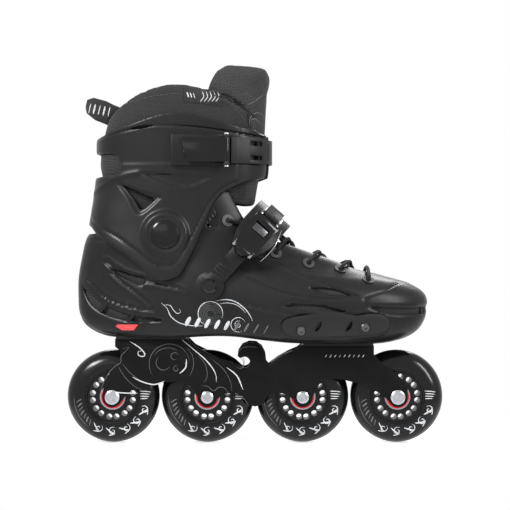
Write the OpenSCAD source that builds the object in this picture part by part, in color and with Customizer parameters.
// Inline skate, right foot: a hard boot with a hinged cuff, two ratchet straps and a
// four-wheel aluminium frame. X points to the toe, +Y to the inner side of the foot and
// Z up. The ground is Z = 0, under the middle of the wheelbase. Millimetres.

/* [Wheels] */
// Diameter of the tyre
wheel_d = 80; // [72:1:90]
// Width of the tyre
wheel_w = 24; // [22:0.5:26]
// Gap between the two middle tyres
mid_gap = 2; // [1:0.5:8]
// Gap between an end tyre and its neighbour
end_gap = 1.5; // [1:0.5:8]
// Diameter of the plastic core that the tyre is cast on
core_d = 43; // [38:0.5:52]
// Number of window pairs in the core
window_pairs = 8; // [5:1:10]

/* [Bearings and axles] */
// Outer diameter of a bearing
bearing_od = 22; // [20:0.5:26]
// Width of a bearing
bearing_w = 7; // [5:0.5:8]
// Bore of a bearing
bearing_id = 8; // [6:0.5:9]
// Balls in a bearing
ball_count = 7; // [5:1:9]
// Length of the tube between a wheel's two bearings
spacer_len = 10.2; // [8:0.1:12]
// Diameter of the end axle heads
end_head_d = 12.4; // [9:0.2:14]
// Diameter of the middle axle heads
mid_head_d = 10.4; // [9:0.2:14]

/* [Frame] */
// Thickness of the frame's side plates
plate_t = 3.5; // [2.5:0.25:5]
// Radius of the frame's ears round the axles
ear_r = 8.6; // [8:0.2:13]
// Thickness of the front deck, over the wheels
deck_t = 2.8; // [2:0.1:5]
// Height of the heel deck above the front deck
heel_lift = 5.5; // [3:0.5:12]
// Distance between the two mounting bolts
mount_pitch = 165; // [150:1:195]
// Diameter of the mounting bolts
mount_bolt_d = 8; // [6:0.5:8]

/* [Boot] */
// Length of the hard shell
boot_l = 302; // [255:1:365]
// Width of the hard shell at the ball of the foot
boot_w = 106; // [88:1:128]
// Wall of the hard shell
shell_t = 2.8; // [2:0.1:4]
// Thickness of the padded liner
liner_t = 5.5; // [4:0.5:8]
// Thickness of the lace
lace_d = 3.4; // [2.5:0.1:4]

/* [Cuff] */
// Height of the cuff's highest point above the ankle pivot
cuff_rise = 102; // [84:1:124]
// Wall of the cuff
cuff_t = 2.6; // [2:0.1:4]
// Diameter of the ankle pivot's shank
pivot_d = 9; // [7:0.5:12]
// Diameter of the ankle pivot's domed head
pivot_head_d = 24; // [18:0.5:28]
// Height of the cuff strap
cuff_strap_w = 20; // [15:0.5:24]

/* [Instep strap] */
// Width of the toothed strap
ladder_w = 14; // [12:0.5:22]
// Width of the padded strap
pad_w = 34; // [26:0.5:40]
// Tilt of the strap above the horizontal
strap_tilt = 48; // [40:1:55]
// Distance from the rivets to the top of the strap
strap_reach = 81; // [81:0.5:98]

/* [Hidden] */
$fn = 48;

// ---- clearances ----
press = 0.02;        // radial gap of a seated ring or pin
running = 0.06;      // radial gap of a turning fit
gap = 0.3;           // gap between parts that lie on each other
cuff_gap = 1.2;      // gap between the shell and the cuff that swings over it
plate_room = 0.6;    // gap between a tyre's side and the frame
tyre_room = 1.7;     // gap between a tyre's top and the deck

// ---- wheels and frame ----
axle_z = wheel_d / 2;
axle_x = let (m = (wheel_d + mid_gap) / 2) [-m - wheel_d - end_gap, -m, m, m + wheel_d + end_gap];
hub_w = 2 * bearing_w + spacer_len;
plate_y = max(wheel_w, hub_w) / 2 + plate_room;
front_deck_z = wheel_d + tyre_room + deck_t;
heel_deck_z = front_deck_z + heel_lift;
mount_x = [-mount_pitch / 2 - 2.5, mount_pitch / 2 - 2.5];
heel_deck = [mount_x[0] - 35, mount_x[0] + 27];
front_deck = [mount_x[1] - 40, mount_x[1] + 22];
deck_half = plate_y + plate_t;

// ---- boot ----
// The boot's stations are given for the standard frame, whose front deck is this high.
standard_deck = 84.5;
lift = front_deck_z - standard_deck;
sx = boot_l / 302;
sy = boot_w / 106;
ring_sides = 44;
sole_pad_half = [20, 22];
// Ring: [height at heel, height at toe, back, front, half width at heel, at ball, roundness, arch lift]
boot_rows = [
    [91.0, 85.4, -119, 106, 22, 30, 3.0, 4],
    [92.4, 87.0, -129, 118, 29, 38, 2.8, 3],
    [96.4, 90.8, -139, 131, 34, 45, 2.6, 1.5],
    [103, 97, -147.5, 141, 37, 50, 2.5, 0],
    [113, 106, -152, 147, 38.5, 53, 2.5, 0],
    [126, 115, -153, 149, 39, 54, 2.5, 0],
    [140, 123.5, -153, 149, 39, 53, 2.5, 0],
    [150, 129.5, -151.8, 146, 39, 50.5, 2.5, 0],
    [157, 134.5, -150.5, 139, 39, 47.5, 2.5, 0],
    [162, 139.5, -149.5, 128, 39, 44, 2.5, 0],
    [166, 144.5, -148.7, 110, 39, 40.5, 2.5, 0],
    [169.5, 150.5, -148, 90, 39, 38, 2.5, 0],
    [172.5, 158, -147.2, 72, 38.6, 37, 2.5, 0],
    [175, 165, -146.4, 54, 38.4, 36.5, 2.4, 0],
    [177, 171, -145.6, 38, 38.2, 36.5, 2.4, 0],
    [178.4, 178, -144.8, 22, 38, 36.5, 2.3, 0],
    [179.2, 187, -144.2, 11, 38, 36.5, 2.3, 0],
    [179.7, 201, -143.8, 1, 38, 37, 2.3, 0],
    [180, 217, -143.5, -8, 38, 37.5, 2.3, 0]
];

// ---- cuff ----
pivot = [-75.3 * sx, 179.4];
ck = cuff_rise / 102;
function up(z) = z <= pivot[1] ? z : pivot[1] + (z - pivot[1]) * ck;
// Ring: [height at back, height at front, back, front, half width, roundness, hump]
cuff_rows = [
    [136, 136, -148, -8, 45.4, 2.6, 0],
    [165, 165, -146, -3, 44.4, 2.6, 0],
    [188, 188, -143.5, 3, 43, 2.6, 0],
    [212, 212, -139.5, 8, 42.8, 2.5, 0],
    [235, 235, -137.2, 12, 43.5, 2.5, 0],
    [259, 259, -137, 12, 45.5, 2.5, 0],
    [272, 272, -135.5, 11, 46.6, 2.5, 0],
    [288, 288, -134, 9, 47.6, 2.5, 0]
];
leg_rows = [
    [187, 220, -137, 0, 33, 2.4, 0],
    [207, 230, -136, 3, 35.5, 2.4, 0],
    [226, 240, -134.2, 5, 40.1, 2.5, 0],
    [248, 251, -133.6, 6, 41.4, 2.5, 3],
    [266, 262, -130, 7, 41.8, 2.4, 14],
    [281, 274, -126, 6, 41, 2.3, 29]
];
tongue_rows = [
    [204, 204, -70, 1.5, 34, 2.4, 0], [213, 213, -70, 3, 34, 2.4, 0],
    [228, 228, -70, 5.5, 34, 2.4, 0], [245, 245, -70, 7, 34, 2.4, 0],
    [262, 262, -70, 8.3, 34, 2.4, 0], [285, 285, -70, 9.5, 34, 2.4, 0],
    [303, 303, -72, 10.5, 34, 2.3, 0], [315, 315, -72, 13, 35, 2.3, 0],
    [324, 324, -72, 9, 33, 2.3, 0]
];
strap_z = 250;          // middle height of the cuff strap
strap_row = cuff_rows[5];
strap_t = 2.2;

// ---- instep strap ----
rivet = [-38.1 * sx, 136];
strap_back = strap_reach * sx;
strap_half = 45.2 * sy;

// ==== functions ====
function mix(a, b, t) = a + (b - a) * t;
function clamp(t) = max(0, min(1, t));
function smooth(t) = let (c = clamp(t)) c * c * (3 - 2 * c);
function unit(v) = v / norm(v);
function swell(s, n) = pow(max(0, 1 - pow(abs(2 * s - 1), n)), 1 / n);
function toe_in(x) = 5 * smooth((x / sx - 10) / 140);
function arc(c, r, a0, a1, n = 10) = [for (i = [0:n]) c + r * [cos(mix(a0, a1, i / n)), sin(mix(a0, a1,
    i / n))]];

// Catmull-Rom curve through the points of a closed or open line
function curve(p, n = 4, closed = true) =
    let (c = len(p), last = closed ? c : c - 1)
    [for (i = [0:last - 1], j = [0:n - 1])
        let (t = j / n,
             a = p[closed ? (i + c - 1) % c : max(0, i - 1)], b = p[i],
             d = p[(i + 1) % c], e = p[closed ? (i + 2) % c : min(c - 1, i + 2)])
        0.5 * (2 * b + (d - a) * t + (2 * a - 5 * b + 4 * d - e) * t * t + (3 * b - a - 3 * d + e)
            * t * t * t)];

// Height and half width of a boot ring at x
function ring_share(r, x) = clamp((x / sx - r[2]) / (r[3] - r[2]));
function ring_z(r, x) = let (s = ring_share(r, x))
    mix(r[0], r[1], smooth(s)) + r[7] * exp(-pow((x / sx + 25) / 35, 2));
function ring_half(r, x) = let (s = ring_share(r, x)) sy * mix(r[4], r[5], smooth(s)) * swell(s, r[6]);
function boot_point(r, a) = let (x = sx * mix(r[2], r[3], (1 - cos(a)) / 2))
    [x, sign(sin(a)) * ring_half(r, x) + toe_in(x), ring_z(r, x)];
boot_rings = [for (r = boot_rows) [for (i = [0:ring_sides - 1]) boot_point(r, 360 * i / ring_sides)]];

// A point of the shell's outer side at x and z; side is -1 for the outer side of the foot
function side_y(x, z, side) = toe_in(x) + side * lookup(z, [for (r = boot_rows) [ring_z(r, x),
    ring_half(r, x)]]);
function side_point(x, z, side) = [x, side_y(x, z, side), z];
function side_normal(x, z, side) = let (e = 1.5)
    unit(side * cross(side_point(x, z + e, side) - side_point(x, z - e, side),
                      side_point(x + e, z, side) - side_point(x - e, z, side)));

function oval_point(r, a) = let (s = (1 - cos(a)) / 2)
    [sx * mix(r[2], r[3], s), sign(sin(a)) * sy * r[4] * swell(s, r[5]),
     up(mix(r[0], r[1], smooth(s)) + r[6] * (1 - pow(2 * s - 1, 2)))];
function oval_rings(rows, n) = [for (r = rows) [for (i = [0:n - 1]) oval_point(r, 360 * i / n)]];

// Outward normal at a point of a stack of closed rings
function ring_normal(p, k, i) = let (n = len(p[0]))
    unit(cross(p[min(k + 1, len(p) - 1)][i] - p[max(k - 1, 0)][i], p[k][(i + 1) % n] - p[k][(i + n - 1)
        % n]));
function inset(p, d, flat_base = false) = [for (k = [0:len(p) - 1]) [for (i = [0:len(p[0]) - 1])
    p[k][i] - d * (flat_base && k == 0 ? [0, 0, -1] : ring_normal(p, k, i))]];
function rows_of(p, a, b) = [for (k = [a:b]) p[k]];
function flat(p) = [for (r = p, q = r) q];

// ==== shapes ====
// The wall between an outer and an inner stack of rings, open at the top
module ring_wall(outer, inner, closed_base = false) {
    n = len(outer[0]);
    m = len(outer) * n;
    top = m - n;
    polyhedron(concat(flat(outer), flat(inner)), concat(
        [for (k = [0:len(outer) - 2], i = [0:n - 1], f = [0:1])
            let (a = k * n + i, b = k * n + (i + 1) % n) f == 0 ? [a, b, b + n] : [a, b + n, a + n]],
        [for (k = [0:len(outer) - 2], i = [0:n - 1], f = [0:1])
            let (a = m + k * n + i, b = m + k * n + (i + 1) % n) f == 0 ? [a, b + n, b] : [a, a + n,
                b + n]],
        [for (i = [0:n - 1], f = [0:1]) let (a = top + i, b = top + (i + 1) % n)
            f == 0 ? [a, b, m + b] : [a, m + b, m + a]],
        closed_base
            ? [for (i = [0:n / 2 - 1], f = [0:3])
                let (a = i, b = i + 1, c = n - i - 1, d = (n - i) % n)
                if ((f % 2 == 0 && a != d) || (f % 2 == 1 && b != c))
                    f == 0 ? [a, d, c] : f == 1 ? [a, c, b] : f == 2 ? [m + a, m + c, m + d] : [m + a,
                        m + b, m + c]]
            : [for (i = [0:n - 1], f = [0:1]) let (j = (i + 1) % n)
                f == 0 ? [i, m + i, m + j] : [i, m + j, j]]
    ));
}

// The slab between two open grids of the same size; the first is seen clockwise from outside
module slab(a, b) {
    n = len(a[0]);
    k = len(a);
    m = n * k;
    edge = concat([for (i = [0:n - 1]) i], [for (j = [1:k - 1]) j * n + n - 1],
        [for (i = [n - 2:-1:0]) (k - 1) * n + i], [for (j = [k - 2:-1:1]) j * n]);
    polyhedron(concat(flat(a), flat(b)), concat(
        [for (j = [0:k - 2], i = [0:n - 2], f = [0:1]) let (p = j * n + i)
            f == 0 ? [p, p + 1, p + n + 1] : [p, p + n + 1, p + n]],
        [for (j = [0:k - 2], i = [0:n - 2], f = [0:1]) let (p = m + j * n + i)
            f == 0 ? [p, p + n + 1, p + 1] : [p, p + n, p + n + 1]],
        [for (e = [0:len(edge) - 1], f = [0:1]) let (p = edge[e], q = edge[(e + 1) % len(edge)])
            f == 0 ? [p, m + q, q] : [p, m + p, m + q]]
    ));
}

// A tube swept along a line of points
module sweep(p, r, sides = 8) {
    n = len(p);
    dirs = [for (i = [0:n - 1]) unit(p[min(n - 1, i + 1)] - p[max(0, i - 1)])];
    frames = [for (i = 0, v = unit(cross(dirs[0], [0.3, 0.2, 1])); i < n;
        i = i + 1, v = i < n ? unit(v - (v * dirs[i]) * dirs[i]) : v) v];
    polyhedron([for (i = [0:n - 1], s = [0:sides - 1])
            let (v = frames[i], w = cross(dirs[i], v), a = 360 * s / sides) p[i] + r * (cos(a) * v
                + sin(a) * w)],
        concat([[for (s = [0:sides - 1]) s]], [[for (s = [sides - 1:-1:0]) (n - 1) * sides + s]],
            [for (i = [0:n - 2], s = [0:sides - 1], f = [0:1])
                let (a = i * sides + s, b = i * sides + (s + 1) % sides)
                f == 0 ? [a, a + sides, b + sides] : [a, b + sides, b]]));
}

module along(p, n) translate(p) rotate([0, acos(n[2]), atan2(n[1], n[0])]) children();
module y_cyl(x, z, r, y0, y1) translate([x, y1, z]) rotate([90, 0, 0]) cylinder(h = y1 - y0, r = r);
// A prism along Y of a side outline given as [x, z] points
module y_prism(points, y0, y1) translate([0, y1, 0]) rotate([90, 0, 0]) linear_extrude(y1 - y0)
    polygon(points);
module ring(h, ro, ri) difference() {
    cylinder(h = h, r = ro);
    translate([0, 0, -1]) cylinder(h = h + 2, r = ri);
}
module on_frame() translate([0, 0, lift]) children();

// A leaf-shaped side outline from a to b, bulging w to each side
function leaf(a, b, w, n = 8) = let (d = unit(b - a), q = [-d[1], d[0]])
    concat([for (i = [0:n]) mix(a, b, i / n) + q * w * sin(180 * i / n)],
        [for (i = [n - 1:-1:1]) mix(a, b, i / n) - q * w * sin(180 * i / n)]);

// ==== wheels ====
module at_axle(i) translate([axle_x[i], 0, axle_z]) rotate([90, 0, 0]) children();

module tyre(i) color("#151515") at_axle(i) rotate_extrude($fn = 96) polygon(concat(
    [[core_d / 2 + press, -wheel_w / 2 + 2], [core_d / 2 + 1.5, -wheel_w / 2 + 0.8]],
    [for (a = [-78:12:78]) [wheel_d / 2 - 13.5 + 13.5 * cos(a), wheel_w / 2 * sin(a) / sin(78)]],
    [[core_d / 2 + 1.5, wheel_w / 2 - 0.8], [core_d / 2 + press, wheel_w / 2 - 2]]));

module core(i) color("#202020") at_axle(i) {
    seat_r = bearing_od / 2 + press;
    inner = seat_r + 2.4;
    outer = core_d / 2;
    window = (outer - inner) * 0.62;
    mid = (inner + outer) / 2;
    difference() {
        translate([0, 0, -wheel_w / 2 + 2]) cylinder(h = wheel_w - 4, r = outer, $fn = 96);
        for (s = [0, 1]) rotate([180 * s, 0, 0]) translate([0, 0, spacer_len / 2])
            cylinder(h = wheel_w, r = seat_r);
        translate([0, 0, -wheel_w]) cylinder(h = 2 * wheel_w, r = bearing_od / 2 - 3);
        for (k = [0:window_pairs - 1], h = [-1, 1]) rotate(360 / window_pairs * k + 10 * h)
            translate([mid, 0, -wheel_w]) cylinder(h = 2 * wheel_w, r = window / 2, $fn = 24);
    }
}

module each_bearing() for (s = [0, 1]) rotate([180 * s, 0, 0]) translate([0, 0, spacer_len / 2])
    children();
ball_r = (bearing_od - bearing_id) * 0.142;
ball_orbit = (bearing_od + bearing_id) / 4;
race = (bearing_od - bearing_id) * 0.16;       // height of the inner ring
race_out = (bearing_od - bearing_id) * 0.115;  // height of the outer ring

module race_groove() translate([0, 0, bearing_w / 2]) rotate_extrude() translate([ball_orbit, 0])
    circle(r = ball_r + 0.05, $fn = 24);

module bearing_outer_rings(i) color("#c0c0c4") at_axle(i) each_bearing() difference() {
    ring(bearing_w, bearing_od / 2, bearing_od / 2 - race_out);
    race_groove();
}
module bearing_shields(i) color("#c4161c") at_axle(i) each_bearing() translate([0, 0, bearing_w - 1])
    ring(0.5, bearing_od / 2 - race_out - press, bearing_id / 2 + race + 0.15);
module bearing_balls(i) color("#d0d0d4") at_axle(i) each_bearing() for (k = [0:ball_count - 1])
    rotate(360 / ball_count * k) translate([ball_orbit, 0, bearing_w / 2]) sphere(r = ball_r, $fn = 20);
module bearing_inner_rings() color("#c0c0c4") for (i = [0:3]) at_axle(i) each_bearing() difference() {
    ring(bearing_w, bearing_id / 2 + race, bearing_id / 2);
    race_groove();
}
module bearing_spacers() color("#b0b0b4") for (i = [0:3]) at_axle(i)
    translate([0, 0, -spacer_len / 2]) ring(spacer_len, bearing_id / 2 + 1.6, bearing_id / 2);

axle_r = bearing_id / 2 - press;
module axles() color("#c8c8cc") for (i = [0:3]) let (head = (i == 0 || i == 3 ? end_head_d
    : mid_head_d) / 2)
    at_axle(i) difference() {
        union() {
            translate([0, 0, -deck_half]) cylinder(h = 2 * deck_half, r = axle_r);
            translate([0, 0, deck_half]) cylinder(h = 1.4, r = head);
            translate([0, 0, deck_half + 1.4]) cylinder(h = 0.8, r1 = head, r2 = head - 1.2);
        }
        if (i == 1 || i == 2) translate([0, 0, deck_half + 0.4]) cylinder(h = 3, r = 2.6, $fn = 6);
        translate([0, 0, -deck_half - 1]) cylinder(h = 4, r = 2.3, $fn = 6);
    }

// ==== frame ====
// Places the plate's outline, drawn for 80 mm wheels, on the real axles and decks
function fx(x) = lookup(x, [[-222.5, axle_x[0] - 100], [-122.5, axle_x[0]], [-41, axle_x[1]], [41,
    axle_x[2]],
    [122.5, axle_x[3]], [222.5, axle_x[3] + 100]]);
function fz(z) = lookup(z, [[0, 0], [40, axle_z], [80, wheel_d], [84.5, front_deck_z], [90,
    heel_deck_z]]);
function on_plate(p) = [for (q = p) [fx(q[0]), fz(q[1])]];
function ear(i, a0, a1) = arc([axle_x[i], axle_z], ear_r, a0, a1, 12);
plate_outline = concat(
    [[heel_deck[0], heel_deck_z], [heel_deck[0], heel_deck_z - 6.5], [heel_deck[0] + 4,
        heel_deck_z - 10]],
    on_plate([[-115, 73.5], [-123, 64], [-129, 52]]),
    ear(0, 165, 330),
    on_plate([[-108, 45.5], [-98, 48.5], [-88, 51.5], [-76, 53], [-64, 53.5], [-56, 50]]),
    ear(1, 175, 350),
    on_plate([[-26, 43], [-18, 44], [-11, 41.5], [-6, 34], [0, 32], [6, 34], [11, 41.5], [18, 44], [26,
        43]]),
    ear(2, 190, 365),
    on_plate([[55, 51], [64, 56], [76, 55], [86, 52.5], [98, 48], [108, 43]]),
    ear(3, 200, 375),
    on_plate([[131, 50], [124, 57.5], [115, 65], [106, 72], [102, 77]]),
    [[front_deck[1], front_deck_z], [front_deck[0], front_deck_z]],
    on_plate([[37, 82], [29, 78.5], [20, 73.5], [11.8, 67.5], [9.8, 70], [9, 77], [6, 83]]),
    on_plate([[1, 86.6], [-5, 87], [-11, 84.5], [-14.6, 79], [-14.8, 75], [-12.6, 73.8]]),
    [for (a = [130:-20:-110]) [fx(-9), fz(70)] + 4.8 * [cos(a), sin(a)]],
    on_plate([[-18, 69.5], [-30, 73], [-40, 78]]),
    [[heel_deck[1] + 6, heel_deck_z - 6], [heel_deck[1], heel_deck_z]]
);

module frame() color("#1b1b1d") difference() {
    union() {
        for (s = [0, 1]) mirror([0, s, 0]) {
            y_prism(plate_outline, plate_y, deck_half);
            for (x = axle_x) y_cyl(x, axle_z, bearing_id / 2 + 1.5, hub_w / 2, plate_y);
        }
        translate([front_deck[0], -deck_half, front_deck_z - deck_t])
            cube([front_deck[1] - front_deck[0], 2 * deck_half, deck_t]);
        translate([heel_deck[0], -deck_half, heel_deck_z - deck_t])
            cube([heel_deck[1] - heel_deck[0], 2 * deck_half, deck_t]);
        translate([fx(0) - 4, -deck_half, fz(64.5)]) cube([8, 2 * deck_half, 4.5]);
    }
    for (x = axle_x) y_cyl(x, axle_z, bearing_id / 2, -deck_half - 1, deck_half + 1);
    for (x = mount_x) translate([x, 0, front_deck_z - 20]) cylinder(h = 60, r = mount_bolt_d / 2 + 0.2);
}

module each_mount() for (i = [0, 1]) translate([mount_x[i], 0, i == 0 ? heel_deck_z : front_deck_z])
    children();
washer_t = 1.2;
nut_h = 3.6;
module frame_washers() color("#a8a8ac") each_mount() translate([0, 0, -deck_t - washer_t])
    ring(washer_t, mount_bolt_d, mount_bolt_d / 2 + 0.2);
module frame_bolts() color("#8c8c90") each_mount() difference() {
    union() {
        translate([0, 0, -deck_t - washer_t]) cylinder(h = deck_t + washer_t + shell_t + nut_h,
            r = mount_bolt_d / 2 - press);
        translate([0, 0, -deck_t - washer_t - 4.4]) cylinder(h = 4.4, r = mount_bolt_d / 2 + 2.4);
    }
    translate([0, 0, -deck_t - washer_t - 5]) cylinder(h = 3.4, r = 2.9, $fn = 6);
}
// Sheet nuts that lie on the shell's floor and carry the bolts' threads
module sole_nuts() color("#9a9a9e") for (i = [0, 1]) let (z = i == 0 ? heel_deck_z : front_deck_z)
    translate([mount_x[i], 0, z + floor_t(i) + press]) ring(nut_h - 1.4, 7.5, mount_bolt_d / 2);
// Thickness of the shell's floor over each deck
function floor_t(i) = sole_top(mount_x[i]) - (i == 0 ? heel_deck_z : front_deck_z);
function sole_top(x) = ring_z(boot_rows[0], x) + shell_t + lift + 0.25;

// A point of the boot at a fractional ring, an angle round it and a depth under the surface
function boot_row(k) = let (i = min(floor(k), len(boot_rows) - 2)) mix(boot_rows[i], boot_rows[i + 1],
    k - i);
function boot_surf(k, a) = boot_point(boot_row(k), a);
function boot_norm(k, a) = unit(cross(boot_surf(min(k + 0.3, 18), a) - boot_surf(k - 0.3, a),
    boot_surf(k, a + 3) - boot_surf(k, a - 3)));
function under(k, a, d) = boot_surf(k, a) - d * boot_norm(k, a);

// ==== boot ====
// The opening over the instep, seen from above: half width h at the toe end, plus room e
throat_steps = [[-60, 1.75], [4, 1.75], [26, 1.4], [60, 1.1], [88, 1]];
function throat(h, e) = concat(
    [for (q = throat_steps) [q[0] * sx, toe_in(q[0] * sx) - h * q[1] * sy - e]],
    arc([90 * sx, toe_in(90 * sx)], h * sy + e, -80, 80, 10),
    [for (i = [4:-1:0]) let (q = throat_steps[i]) [q[0] * sx, toe_in(q[0] * sx) + h * q[1] * sy + e]]);
module throat_prism(h, e) translate([0, 0, 125]) linear_extrude(120) polygon(throat(h, e));

// ---- lace ----
lace_r = lace_d / 2;
eyelet_r = lace_r + 0.5;
// Eyelets: [ring, angle away from the middle of the instep]
eyelet_at = [[9.1, 38.5], [10.8, 34.5], [11.45, 47], [12.6, 54.5], [16.4, 53]];
lace_under = shell_t + 0.4 + lace_r;
lace_over = 1.4 + lace_r;
bend = 2.5;
function eyelet_angle(i, side) = 180 - side * eyelet_at[i][1];
function eyelet_p(i, side) = boot_surf(eyelet_at[i][0], eyelet_angle(i, side));
function eyelet_n(i, side) = boot_norm(eyelet_at[i][0], eyelet_angle(i, side));
// The run from eyelet i to eyelet i + 1 of the other side: out from under one flap, over the
// other. mid is its depth at the middle of the instep, so that one run passes over the other.
function run_depth(t, mid) = t < 0.5 ? mix(lace_under, mid, smooth((t - 0.31) / 0.16))
    : mix(mid, -lace_over, smooth((t - (mid > 3 ? 0.52 : 0.5)) / 0.17));
run_steps = 15;
// The fractional ring that passes over x at the angle a
function ring_at(x, a) = lookup(x, [for (k = [8:0.5:17.5]) [boot_surf(k, a)[0], k]]);
function over_foot(x, a, d) = under(ring_at(x, a), a, d);
function lace_run(i, side, mid) = [for (j = [0:run_steps]) let (t = mix(0.1, 0.9, j / run_steps),
    a = mix(eyelet_angle(i, side), eyelet_angle(i + 1, -side), t))
    i == 3 ? under(mix(eyelet_at[3][0], eyelet_at[4][0], t), a, run_depth(t, mid))
        : over_foot(mix(eyelet_p(i, side)[0], eyelet_p(i + 1, -side)[0], t), a, run_depth(t, mid))];
// Down through an eyelet, from the point q before it to the point r after it
function aside(v, n) = unit(v - (v * n) * n);
function lace_turn(i, side, q, r) = let (p = eyelet_p(i, side), n = eyelet_n(i, side), a = aside(q - p,
    n), b = aside(r - p, n))
    concat([for (w = [0:22.5:90]) p + n * (lace_over - bend + bend * cos(w)) + a * bend * (1 - sin(w))],
        [for (w = [0:22.5:90]) p - n * (lace_under - bend + bend * sin(w)) + b * bend * (1 - cos(w))]);
knot_p = under(15.5, 180, 1.2);
// One half of the lace: side 1 passes over at each crossing, side -1 under
function half_lace(side) = let (
    mid = side > 0 ? 0.9 : 4.9,
    s = [for (i = [0:4]) i % 2 == 0 ? side : -side],
    runs = [for (i = [0:3]) lace_run(i, s[i], mid)],
    last = [for (t = [0.3, 0.55, 0.8]) under(mix(16.4, 15.5, t), mix(eyelet_angle(4, s[4]), 180, t),
        mix(lace_under, 1.2, smooth((t - 0.35) / 0.5)))],
    bar = over_foot(eyelet_p(0, side)[0], mix(eyelet_angle(0, side), 180, 0.35), -lace_over))
    concat(lace_turn(0, side, bar, runs[0][0]), runs[0],
        lace_turn(1, s[1], runs[0][run_steps], runs[1][0]), runs[1],
        lace_turn(2, s[2], runs[1][run_steps], runs[2][0]), runs[2],
        lace_turn(3, s[3], runs[2][run_steps], runs[3][0]), runs[3],
        lace_turn(4, s[4], runs[3][run_steps], last[0]), last,
        [knot_p + [0, s[4] * 2, 0], knot_p + [-0.5, -s[4] * 4, -3.5], knot_p + [1.5, -s[4] * 10, -5.5]]);
function reversed(p) = [for (i = [len(p) - 1:-1:0]) p[i]];
lace_path = concat(reversed(half_lace(1)),
    [for (w = [0.16, 0.32, 0.5, 0.68, 0.84]) over_foot(eyelet_p(0, 1)[0], mix(eyelet_angle(0, 1),
        eyelet_angle(0, -1), w), -lace_over)],
    half_lace(-1));

module lace() color("#1c1c1e") on_frame() {
    sweep(lace_path, lace_r);
    translate(knot_p) scale([0.75, 1, 0.85]) sphere(r = 4.6, $fn = 20);
}

module at_eyelets() for (i = [0:4], s = [-1, 1]) along(eyelet_p(i, s), eyelet_n(i, s)) children();
module lace_eyelets() color("#7d7d82") on_frame() at_eyelets() difference() {
    union() {
        translate([0, 0, 0.2]) cylinder(h = 0.7, r = eyelet_r + 3);
        translate([0, 0, -shell_t - 0.1]) cylinder(h = shell_t + 0.6, r = eyelet_r + 0.8);
    }
    translate([0, 0, -5]) cylinder(h = 10, r = eyelet_r);
}

// ---- shell ----
vents = [
    [[47, 134.6], [80, 129], 2.2], [[24, 120], [76, 114.6], 3.4], [[98, 118.5], [139, 115.5], 2.6],
    [[-121, 149.5], [-98, 138.5], 2.3], [[-144, 131], [-82, 108.5], 3]
];
insert_outline = [[-121, 98], [-103, 98], [-99, 103], [-117, 103]];
function on_boot(p) = [for (q = p) [q[0] * sx, q[1]]];

// A sheet that follows the boot's side between two depths; side is -1 or 1
module side_patch(x0, x1, z0, z1, lo, hi, side, nx = 14, nz = 5) {
    g = function (d) [for (j = [0:nz]) [for (i = [0:nx])
        let (x = sx * mix(x0, x1, (side < 0 ? nx - i : i) / nx), z = mix(z0, z1, j / nz))
        side_point(x, z, side) + d * side_normal(x, z, side)]];
    slab(g(hi), g(lo));
}
guard_screws_at = [[38.5, 99.5], [91.8, 102]];
guard_t = 2.4;
module at_guard_screws() for (p = guard_screws_at, s = [-1, 1])
    along(side_point(p[0] * sx, p[1], s), side_normal(p[0] * sx, p[1], s)) children();
guard_outline = [[23, 101], [27, 95.5], [40, 93.5], [75, 94], [103, 96], [112, 100], [113, 106], [109,
    111],
    [96, 112.5], [84, 111], [66, 114.5], [48, 112.5], [30, 109.5], [23.5, 106]];
module guard(side) on_frame() difference() {
    intersection() {
        side_patch(22, 114, 93, 115.5, 0.4, 0.4 + guard_t, side, 18, 6);
        y_prism(curve(on_boot(guard_outline), 4), -80, 80);
    }
    for (x = [53, 79]) y_prism(on_boot(leaf([x - 2.5, 97.5], [x + 2.5, 107], 2)), -80, 80);
    at_guard_screws() translate([0, 0, -2]) cylinder(h = 8, r = 2.3, $fn = 24);
}
module toe_guard_outer() color("#d9d9dc") guard(-1);
module toe_guard_inner() color("#d9d9dc") guard(1);
module guard_screws() color("#3a3a3c") on_frame() at_guard_screws() difference() {
    union() {
        translate([0, 0, -shell_t + 0.2]) cylinder(h = guard_t + shell_t + 1, r = 1.98, $fn = 24);
        translate([0, 0, guard_t + 0.8]) cylinder(h = 1.3, r1 = 4, r2 = 3.2, $fn = 32);
    }
    translate([0, 0, guard_t + 1.2]) cylinder(h = 2, r = 1.6, $fn = 6);
}
module heel_inserts() color("#c4161c") on_frame() for (s = [-1, 1]) intersection() {
    side_patch(-124, -96, 96.5, 104.5, -1.2, 0.3, s, 8, 4);
    y_prism(on_boot(insert_outline), -60, 60);
}

boss_face = side_y(pivot[0], pivot[1], 1) + cuff_gap + 0.3;
nut_face = side_y(pivot[0], pivot[1], 1) - shell_t - 0.55;
strap_nut_face = side_y(rivet[0], rivet[1], -1) * -1 - shell_t - 0.8;
module both_sides(x, z) for (s = [0, 1]) translate([x, 0, z]) mirror([0, s, 0]) rotate([-90, 0, 0])
    children();

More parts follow.
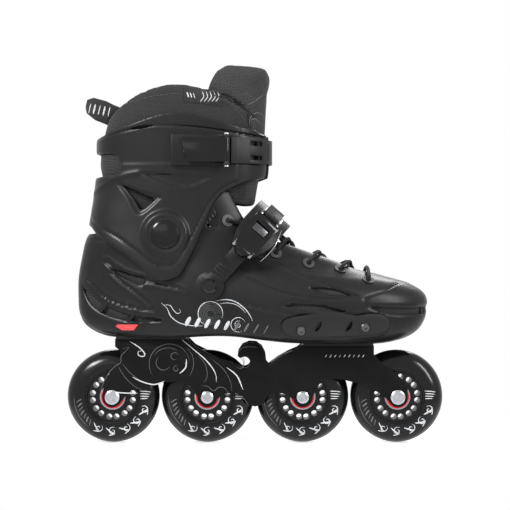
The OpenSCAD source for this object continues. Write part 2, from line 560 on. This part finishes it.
module boot_shell() color("#262628") on_frame() difference() {
    union() {
        ring_wall(boot_rings, inset(boot_rings, shell_t, true), true);
        for (i = [0, 1]) let (deck = i == 0 ? heel_deck : front_deck, z = (i == 0 ? heel_deck_z
            : front_deck_z) - lift)
            translate([deck[0] + 1, -sole_pad_half[i], z])
                cube([deck[1] - deck[0] - 2, 2 * sole_pad_half[i], shell_t + 0.3]);
    }
    throat_prism(14, 0);
    for (v = vents, s = [0, 1]) mirror([0, s, 0]) y_prism(leaf([v[0][0] * sx, v[0][1]], [v[1][0] * sx,
        v[1][1]], v[2]), 12, 90);
    both_sides(pivot[0], pivot[1]) cylinder(h = 60, r = pivot_d / 2 + press);
    both_sides(rivet[0], rivet[1]) cylinder(h = 60, r = 2.5 + press);
    at_eyelets() translate([0, 0, -6]) cylinder(h = 10, r = eyelet_r + 0.8 + press);
    at_guard_screws() translate([0, 0, -6]) cylinder(h = 10, r = 2, $fn = 24);
    for (s = [-1, 1]) intersection() {
        side_patch(-125, -95, 95.5, 105.5, -1.3, 3, s, 8, 4);
        y_prism(on_boot([for (q = insert_outline) q + [q[0] < -110 ? -0.15 : 0.15, q[1] < 100 ? -0.1
            : 0.1]]), -60, 60);
    }
    for (x = mount_x) translate([x, 0, 60]) cylinder(h = 50, r = mount_bolt_d / 2 + 0.2);
}

// ---- liner ----
liner_rings = concat([boot_rings[0]], rows_of(boot_rings, 2, 15));
module liner_lower() color("#2f2f33") on_frame() difference() {
    ring_wall(inset(liner_rings, shell_t + 0.7, true), inset(liner_rings, shell_t + 0.7 + liner_t,
        true), true);
    throat_prism(14, 1.4);
    sweep(half_lace(1), lace_r + 0.15);
    sweep(half_lace(-1), lace_r + 0.15);
    both_sides(pivot[0], pivot[1]) cylinder(h = 60, r = 10.5);
    both_sides(rivet[0], rivet[1]) cylinder(h = 60, r = 7);
    for (x = mount_x) translate([x, 0, 60]) cylinder(h = 60, r = 9);
}
module tongue_lower() color("#37373b") on_frame() intersection() {
    g = function (d) [for (k = [9:15]) [for (i = [ring_sides / 2 - 5:ring_sides / 2 + 5])
        boot_rings[k][i] - d * ring_normal(boot_rings, k, i)]];
    slab(g(shell_t + 4.1), g(shell_t + 8.1));
    throat_prism(14, 0.6);
}
// The insole is a flat ring pair laid on the liner's floor
module insole() color("#55555a") on_frame() {
    d = shell_t + 0.7 + liner_t + 0.3;
    low = [for (p = boot_rings[0]) [p[0] * 0.93, p[1] * 0.88, p[2] + d]];
    top = [for (p = low) p + [0, 0, 3]];
    n = ring_sides;
    polyhedron(concat(low, top), concat(
        [for (i = [0:n - 1], f = [0:1]) let (j = (i + 1) % n) f == 0 ? [i, j, n + j] : [i, n + j, n + i]],
        [for (i = [0:n / 2 - 1], f = [0:3])
            let (a = i, b = i + 1, c = n - i - 1, e = (n - i) % n)
            if ((f % 2 == 0 && a != e) || (f % 2 == 1 && b != c))
                f == 0 ? [a, e, c] : f == 1 ? [a, c, b] : f == 2 ? [n + a, n + c, n + e] : [n + a, n
                    + b, n + c]]));
}

// ---- ankle pivot ----
cap_seat = 46 * sy;
module pivot_screws() color("#2a2a2c") on_frame() both_sides(pivot[0], pivot[1]) {
    translate([0, 0, nut_face - 1.9]) cylinder(h = cap_seat - nut_face + 2.4, r = pivot_d / 2);
    translate([0, 0, cap_seat + 0.1]) rotate_extrude() polygon(concat([[0, 0], [pivot_head_d / 2, 0]],
        [for (w = [0:15:90]) [pivot_head_d / 2 * cos(w), 1.3 + 2.4 * sin(w)]]));
}
module pivot_nuts() color("#8a8a8e") on_frame() both_sides(pivot[0], pivot[1]) difference() {
    translate([0, 0, nut_face - 1.9]) cylinder(h = 1.8, r = 8.4);
    cylinder(h = 80, r = pivot_d / 2 + press);
}

// ==== cuff ====
cuff_base = oval_rings(cuff_rows, 48);
function cuff_line(p) = [for (q = p) [q[0] * sx, up(q[1])]];
cuff_outline = cuff_line([[-152, 188], [-141, 186.5], [-133, 178], [-118, 168], [-100, 155], [-90,
    144.5], [-84, 141.5],
    [-76, 140.8], [-68, 143], [-62, 147.5], [-54, 162], [-45, 181], [-38, 198], [-33, 207.5], [-27,
        214], [-20, 218],
    [-8, 223], [14, 229.5], [20, 229.5], [20, 265], [6, 265], [0, 268], [-20, 272], [-40, 277], [-60,
        281.5],
    [-80, 280], [-110, 270.5], [-136, 261], [-152, 258]]);
cuff_window = cuff_line([[-112, 221.5], [-103, 210], [-97, 200], [-93, 201], [-84, 207.5], [-86, 210.5]]);
module cuff() color("#26262a") on_frame() difference() {
    union() {
        intersection() {
            ring_wall(cuff_base, inset(cuff_base, cuff_t));
            y_prism(cuff_outline, -80, 80);
        }
        both_sides(pivot[0], pivot[1]) {
            translate([0, 0, boss_face]) cylinder(h = cap_seat - 1 - boss_face, r = 9);
            translate([0, 0, cap_seat - 4.5]) ring(4.9, 17, pivot_head_d / 2 + 0.6);
            translate([0, 0, cap_seat - 4.5]) cylinder(h = 4.5, r = 14);
        }
    }
    both_sides(pivot[0], pivot[1]) cylinder(h = 60, r = pivot_d / 2 + running);
    both_sides(pivot[0], pivot[1]) translate([0, 0, cap_seat]) cylinder(h = 20, r = pivot_head_d / 2
        + 0.4);
    translate([-10 * sx, -16, up(200)]) cube([60, 22, up(300) - up(200)]);
    y_prism(cuff_window, -80, 80);
    y_prism(cuff_line([[-160, 228.5], [-119, 229.5], [-115, 233], [-115, 243], [-120, 247.5], [-160,
        248.5]]), -80, 80);
    y_prism(cuff_line(leaf([-108, 267.4], [-84, 270.5], 1.6)), -80, 80);
    for (x = strap_rivets_x) both_sides(x, up(strap_z)) cylinder(h = 60, r = 2 + press);
}

leg = oval_rings(leg_rows, 40);
module liner_upper() color("#2f2f33") on_frame() difference() {
    ring_wall(leg, inset(leg, liner_t + 0.5));
    translate([-30 * sx, -24.6, 150]) cube([80, 49.2, 300]);
    for (x = strap_rivets_x) both_sides(x, up(strap_z)) translate([0, 0, oval_side(x) - cuff_t - 3.2])
        cylinder(h = 20, r = 5.5);
}
tongue_base = oval_rings(tongue_rows, 40);
// The tongue fills the liner's front and has wings that lie inside it
module tongue_upper() color("#3a3a3f") on_frame() {
    intersection() {
        ring_wall(tongue_base, inset(tongue_base, 9));
        union() {
            translate([-34 * sx, -24, 150]) cube([80, 48, up(309) - 150]);
            y_prism(cuff_line([[-40, 306.2], [-30, 304.6], [-20, 301.4], [-10, 295.4], [0, 285.2], [5,
                278.5], [40, 278.5],
                [40, 340], [-24, 340], [-24.5, 323], [-32, 318.5], [-38.5, 311.5], [-40, 309]]), -50, 50);
        }
    }
    intersection() {
        ring_wall(inset(leg, liner_t + 0.9), inset(leg, liner_t + 4.4));
        translate([-46 * sx, -50, up(226)]) cube([90, 100, 120]);
    }
}
loop_side = cuff_line([[-112, 287.5], [-121, 291], [-128, 294.5], [-139, 297.5], [-145, 296], [-147,
    290], [-145.5, 284.5],
    [-140, 280], [-130, 276], [-120, 272.5], [-112, 271]]);
loop_half = 10;
loop_t = 2;
// A band of webbing that stands on edge and runs round behind the collar
module heel_loop() color("#3c3c40") on_frame() difference() {
    intersection() {
        y_prism(loop_side, -20, 20);
        translate([0, 0, 200]) linear_extrude(300) difference() {
            loop_plan(loop_half);
            loop_plan(loop_half - loop_t);
        }
    }
    leg_solid(0.3);
}
module loop_plan(half) {
    translate([-147 * sx + loop_half, 0]) circle(r = half);
    translate([-147 * sx + loop_half, -half]) square([70, 2 * half]);
}
module leg_solid(e) {
    p = inset(leg, -e);
    n = len(p[0]);
    polyhedron(flat(p), concat(
        [for (k = [0:len(p) - 2], i = [0:n - 1], f = [0:1])
            let (a = k * n + i, b = k * n + (i + 1) % n) f == 0 ? [a, b, b + n] : [a, b + n, a + n]],
        [for (i = [0:n / 2 - 1], f = [0:3])
            let (m = (len(p) - 1) * n, a = i, b = i + 1, c = n - i - 1, e = (n - i) % n)
            if ((f % 2 == 0 && a != e) || (f % 2 == 1 && b != c))
                f == 0 ? [a, e, c] : f == 1 ? [a, c, b] : f == 2 ? [m + a, m + c, m + e] : [m + a, m
                    + b, m + c]]));
}

// ---- cuff strap and buckle ----
// The line round the cuff at angle a, d outside it, seen from above
function band(a, d) = let (p = oval_point(strap_row, a), q = oval_point(strap_row, a + 1),
    r = oval_point(strap_row, a - 1),
    t = unit([q[0] - r[0], q[1] - r[1]])) [p[0] - d * t[1], p[1] + d * t[0]];
function band_strip(a0, a1, d0, d1, n = 26) = concat([for (i = [0:n]) band(mix(a0, a1, i / n), d0)],
    [for (i = [n:-1:0]) band(mix(a0, a1, i / n), d1)]);
module band_slab(a0, a1, d0, d1, h, n = 26) translate([0, 0, up(strap_z) - h / 2]) linear_extrude(h)
    polygon(band_strip(a0, a1, d0, d1, n));
strap_rivets_x = [-56 * sx, -38 * sx];
hinge_at = [-24 * sx, -48.4 * sy];
lever_end = -62.6 * sx;

module cuff_strap() color("#232327") on_frame() difference() {
    band_slab(96, 212, 0.7, 0.7 + strap_t, cuff_strap_w, 40);
    for (x = strap_rivets_x) translate([x, 0, up(strap_z)]) rotate([-90, 0, 0]) cylinder(h = 60,
        r = 2 + press);
    for (a = [196:4:208]) let (p = band(a, 3)) translate([p[0], p[1], up(strap_z)]) cube([1.2, 1.2,
        cuff_strap_w * 0.7], center = true);
}
// Rivets that hold the strap on one side and the buckle on the other
module cuff_strap_rivets() color("#9a9a9e") on_frame() for (i = [0, 1], x = [strap_rivets_x[i]])
    both_sides(x, up(strap_z)) {
    y = oval_side(x);
    translate([0, 0, y - cuff_t - 1.6]) cylinder(h = cuff_t + 3.2 + strap_t, r = 2);
    translate([0, 0, y - cuff_t - 2]) cylinder(h = 0.8, r = 4);
    translate([0, 0, y + 1.8 + strap_t]) cylinder(h = 0.9, r1 = 3.8, r2 = 3);
}
// Half width of the cuff at x, at the strap's middle height
function oval_side(x) = let (s = (x / sx - strap_row[2]) / (strap_row[3] - strap_row[2]))
    sy * (strap_row[4] - 0.3) * swell(s, strap_row[5]);
base_h = cuff_strap_w + 6;
module cuff_buckle_base() color("#2b2b2f") on_frame() difference() {
    union() {
        band_slab(241, 276, 0.7, 0.7 + strap_t, base_h);
        for (s = [-1, 1]) translate([0, 0, up(strap_z) + s * (base_h / 2 - 1.25) - 1.25])
            linear_extrude(2.5)
            polygon([hinge_at + [-3.2, 0.8], hinge_at + [-2.2, -2.2], hinge_at + [0, -3], hinge_at
                + [2.4, -2],
                hinge_at + [3, 1], band(240, 1.5), band(252, 1.5)]);
    }
    translate([hinge_at[0], hinge_at[1], 0]) cylinder(h = 600, r = 1.5 + press);
    for (x = strap_rivets_x) translate([x, 0, up(strap_z)]) rotate([90, 0, 0]) cylinder(h = 60, r = 2
        + press);
}
module cuff_buckle_pin() color("#c4c4c8") on_frame() translate([hinge_at[0], hinge_at[1], up(strap_z)
    - base_h / 2 - 0.6]) {
    cylinder(h = base_h + 1.2, r = 1.5);
    translate([0, 0, -0.6]) cylinder(h = 1.1, r = 2.2);
    translate([0, 0, base_h + 0.7]) cylinder(h = 1.1, r = 2.2);
}
lever_h = base_h - 5.6;
module cuff_buckle_lever() color("#101012") on_frame() difference() {
    union() {
        translate([hinge_at[0], hinge_at[1], up(strap_z) - lever_h / 2]) cylinder(h = lever_h, r = 2.9);
        difference() {
            translate([0, 0, up(strap_z) - lever_h / 2]) linear_extrude(lever_h) polygon([
                hinge_at + [0, -2.9], hinge_at + [-8, -4.4], [lever_end + 8, hinge_at[1] - 5.6],
                    [lever_end + 1, hinge_at[1] - 6],
                [lever_end, hinge_at[1] - 4.6], [lever_end + 1.5, hinge_at[1] - 2.9], hinge_at + [-10,
                    -1.6], hinge_at + [-2, -0.6]]);
            y_prism([[lever_end - 5, up(strap_z) - lever_h / 2 - 1], [lever_end + 6.5, up(strap_z)
                - lever_h / 2 - 1],
                [lever_end - 0.5, up(strap_z) + lever_h / 2 + 1], [lever_end - 5, up(strap_z)
                    + lever_h / 2 + 1]], -90, 0);
        }
    }
    translate([hinge_at[0], hinge_at[1], 0]) cylinder(h = 600, r = 1.5 + running);
}
// The hook that joins the buckle's base to the strap's toothed end
module cuff_strap_keeper() color("#3a3a3e") on_frame() difference() {
    union() {
        band_slab(203, 235.5, 3.3, 4.9, cuff_strap_w + 2);
        band_slab(231.5, 236.5, 0.7, 4.9, cuff_strap_w + 2, 8);
    }
    for (s = [-1, 1]) translate([0, 0, up(strap_z) + s * 6]) linear_extrude(4, center = true)
        polygon(band_strip(209, 221, 3, 6, 8));
}

// ==== instep strap ====
m_cos = cos(strap_tilt);
m_sin = sin(strap_tilt);
module strap_frame() on_frame() multmatrix([[0, m_cos, m_sin, rivet[0]], [1, 0, 0, 0], [0, m_sin,
    -m_cos, rivet[1]], [0, 0, 0, 1]])
    children();
// Half width of the strap's inner line at u, and its outline d outside that line
function strap_line(v, d) = let (a = strap_half, b = strap_back, n = 2.6, c = max(0.0001, abs(cos(v))),
    s = max(0.0001, abs(sin(v))),
    p = [sign(cos(v)) * a * pow(c, 2 / n), b * pow(s, 2 / n)],
    g = unit([sign(cos(v)) * pow(abs(p[0]) / a, n - 1) / a, pow(p[1] / b, n - 1) / b])) p + d * g;
buckle_v = 39;
buckle_p = let (p = strap_line(180 - buckle_v, 0)) p;
buckle_t = let (a = strap_line(180 - buckle_v + 2, 0), b = strap_line(180 - buckle_v - 2, 0)) unit(b - a);
module on_buckle() strap_frame() translate([buckle_p[0], buckle_p[1], 0]) rotate(atan2(buckle_t[1],
    buckle_t[0])) children();
function buckle_uv(s, h) = buckle_p + s * buckle_t + h * [-buckle_t[1], buckle_t[0]];
module across(w) translate([0, 0, -w / 2]) linear_extrude(w) children();
module pin_at(s, h, r, w) translate([s, h, -w / 2]) cylinder(h = w, r = r);

pad_t = 3;
// The pad's ends are as narrow as the ladder strap: [height on the strap, half width]
function pad_edge(side) = [for (q = [[20, 0.26], [38, 0.28], [45, 0.37], [52, 0.455], [60, 0.5], [110,
    0.5]]) [q[0], side * q[1] * pad_w]];
module instep_pad() color("#2c2c30") strap_frame() difference() {
    union() {
        intersection() {
            across(pad_w) polygon(concat([for (v = [22:4:158]) strap_line(v, 0.4)],
                [for (v = [158:-4:22]) strap_line(v, pad_t)]));
            rotate([90, 0, 90]) linear_extrude(200, center = true) polygon(concat(pad_edge(1),
                reversed(pad_edge(-1))));
        }
        across(ladder_w) polygon(concat([for (v = [0:3:27]) strap_line(v, 0.6)], [for (v = [27:-3:0])
            strap_line(v, 0.6 + pad_t)]));
        translate([strap_half + 0.6, 0, 0]) rotate([0, 90, 0]) cylinder(h = pad_t, r = ladder_w / 2);
    }
    translate([20, 0, 0]) rotate([0, 90, 0]) cylinder(h = 60, r = 2.5 + running);
}
ladder_in = 5.1;
ladder_t = 2.3;
function ladder_mid(d) = concat([[-strap_half - 0.6 - d, -2], [-strap_half - 0.6 - d, 4],
    [-strap_half - 1 - d, 14],
    [-strap_half - 2.4 - d, 25], buckle_uv(-22.5, ladder_in + d)]);
module instep_ladder() color("#1e1e20") strap_frame() difference() {
    union() {
        across(ladder_w) polygon(concat(curve(ladder_mid(0), 4, false), [buckle_uv(-22.5, ladder_in),
            buckle_uv(25, ladder_in),
            buckle_uv(26, ladder_in + ladder_t), buckle_uv(-22.5, ladder_in + ladder_t)],
                reversed(curve(ladder_mid(ladder_t), 4, false))));
        translate([-strap_half - 0.6 - ladder_t, 0, 0]) rotate([0, 90, 0]) cylinder(h = ladder_t, r = 12);
    }
    translate([-80, 0, 0]) rotate([0, 90, 0]) cylinder(h = 60, r = 2.5 + running);
    for (i = [0:14]) let (p = buckle_uv(-20 + 3 * i, ladder_in + ladder_t)) translate([p[0], p[1], 0])
        rotate(atan2(buckle_t[1], buckle_t[0])) across(ladder_w - 4) polygon([[-0.9, 0.1], [0.9, 0.1],
            [0.9, -0.8], [0.2, -0.8]]);
    for (i = [0:3]) translate([-strap_half - 1.7 - ladder_t - 0.55 * i, 15 + 3.2 * i, 0])
        across(ladder_w - 4) polygon([[-1, -0.8], [0.9, -0.8], [0.9, 0.9], [-1, 0.2]]);
}
// Rivets of the instep strap: [outer seat of the head] on each side
module strap_rivets() color("#a8a8ac") on_frame() for (s = [0, 1]) translate([rivet[0], 0, rivet[1]])
    mirror([0, s, 0]) rotate([-90, 0, 0]) {
    seat = strap_half + 0.6 + (s == 0 ? pad_t : ladder_t) + 0.15;
    translate([0, 0, strap_nut_face - 1.2]) cylinder(h = seat - strap_nut_face + 1.6, r = 2.5);
    translate([0, 0, strap_nut_face - 1.2]) cylinder(h = 1.1, r = 6);
    translate([0, 0, seat]) cylinder(h = 1.8, r1 = 6.3, r2 = 4.6);
}
lever_pin = [11, 11.6];
release_pin = [20, 10.4];
wall_in = ladder_w / 2 + 0.5;
lever_w = 2 * wall_in + 7.4;
window_w = ladder_w;
module ratchet_base() color("#8d8d92") on_buckle() difference() {
    union() {
        translate([-21, pad_t + 0.35, -wall_in - 2]) cube([45, ladder_in - pad_t - 0.65, 2 * wall_in
            + 4]);
        for (s = [-1, 1]) translate([0, 0, s * (wall_in + 1) - 1]) linear_extrude(2)
            polygon([[-19, pad_t + 0.4], [24, pad_t + 0.4], [24, 9], [22.4, 12.4], [18, 12.6],
                [16.2, 10.6], [13.8, 10.9], [13.6, 12.4], [12.6, 13.9], [11, 14.4], [9.4, 13.9], [8.2,
                    12.2], [2, 8], [-15, 7.4]]);
    }
    pin_at(lever_pin[0], lever_pin[1], 1.5 + press, 60);
    pin_at(release_pin[0], release_pin[1], 1.2 + press, 60);
}
module ratchet_pins() color("#d0d0d4") on_buckle() {
    pin_at(lever_pin[0], lever_pin[1], 1.5, lever_w + 0.8);
    pin_at(release_pin[0], release_pin[1], 1.2, 2 * wall_in + 4.8);
}
module ratchet_lever() color("#131315") on_buckle() difference() {
    intersection() {
        across(lever_w) polygon(concat([[14, 14.9], [13, 17.6], [8, 18.6], [-10, 17.4], [-20, 15.8]],
            arc([-24, 12.2], 4.2, 70, 290, 10), [[-19, 9.6], [-16, 12.4], [6, 15.2]], arc(lever_pin,
                3.2, 190, 350, 8)));
        // Seen from above, the lever narrows to a round thumb end
        translate([0, 40, 0]) rotate([90, 0, 0]) linear_extrude(60)
            polygon(concat([for (q = lever_plan) [q[0], q[1] * lever_w / 2]],
            [for (q = reversed(lever_plan)) [q[0], -q[1] * lever_w / 2]]));
    }
    across(2 * wall_in + 4.6) polygon([[-18, 0], [30, 0], [30, 30], [11.8, 30], [11.8, 15.1], [4,
        15.1], [-12, 13.4], [-18, 12]]);
    translate([0, 0, -window_w / 2]) linear_extrude(window_w) polygon([[-5, 8], [4, 8], [4, 30], [-5,
        30]]);
    pin_at(lever_pin[0], lever_pin[1], 1.5 + running, 60);
}
lever_plan = [[16, 1], [-6, 1], [-13, 0.93], [-19, 0.8], [-24, 0.6], [-27, 0.38], [-28.4, 0.12]];
// The drive tooth, held between the lever's window and the ladder
module ratchet_pawl() color("#b8b8bc") on_buckle() across(window_w - 0.6) polygon([[3.7, 16.6], [2.6,
    17.6], [-3.4, 17.2], [-4.7, 15.8],
    [-4.7, 14.2], [1, 13.6], [2.2, 8], [3.6, 8], [3.7, 14]]);
module ratchet_release() color("#6e6e72") on_buckle() difference() {
    across(2 * wall_in - 0.6) polygon(concat([[17.2, 8], [18.2, 8.1]], arc(release_pin, 2.4, 240, 300, 4),
        [[24, 9.6], [26.6, 9.3], [27.6, 10.4], [26.6, 12.2], [24, 13.2]], arc(release_pin, 2.6, 60,
            150, 5), [[16.4, 8.6]]));
    pin_at(release_pin[0], release_pin[1], 1.2 + running, 60);
}
// Torsion spring round the lever's pin
module ratchet_spring() color("#c8c8cc") on_buckle() for (s = [-1, 1]) translate([lever_pin[0],
    lever_pin[1], s * (wall_in - 2.3) - 2])
    ring(4, 2.5, 1.62);

boot_shell();
toe_guard_outer();
toe_guard_inner();
guard_screws();
heel_inserts();
liner_lower();
tongue_lower();
insole();
lace();
lace_eyelets();
strap_rivets();
sole_nuts();
frame();
frame_bolts();
frame_washers();
axles();
bearing_spacers();
bearing_inner_rings();
pivot_screws();
pivot_nuts();
tyre(0);  // tyre_1
core(0);  // core_1
bearing_outer_rings(0);  // bearing_outer_rings_1
bearing_shields(0);  // bearing_shields_1
bearing_balls(0);  // bearing_balls_1
tyre(1);  // tyre_2
core(1);  // core_2
bearing_outer_rings(1);  // bearing_outer_rings_2
bearing_shields(1);  // bearing_shields_2
bearing_balls(1);  // bearing_balls_2
tyre(2);  // tyre_3
core(2);  // core_3
bearing_outer_rings(2);  // bearing_outer_rings_3
bearing_shields(2);  // bearing_shields_3
bearing_balls(2);  // bearing_balls_3
tyre(3);  // tyre_4
core(3);  // core_4
bearing_outer_rings(3);  // bearing_outer_rings_4
bearing_shields(3);  // bearing_shields_4
bearing_balls(3);  // bearing_balls_4
cuff();
liner_upper();
tongue_upper();
heel_loop();
cuff_strap();
cuff_strap_rivets();
cuff_buckle_base();
cuff_buckle_pin();
cuff_strap_keeper();
cuff_buckle_lever();
instep_ladder();
instep_pad();
ratchet_base();
ratchet_pins();
ratchet_spring();
ratchet_lever();
ratchet_pawl();
ratchet_release();
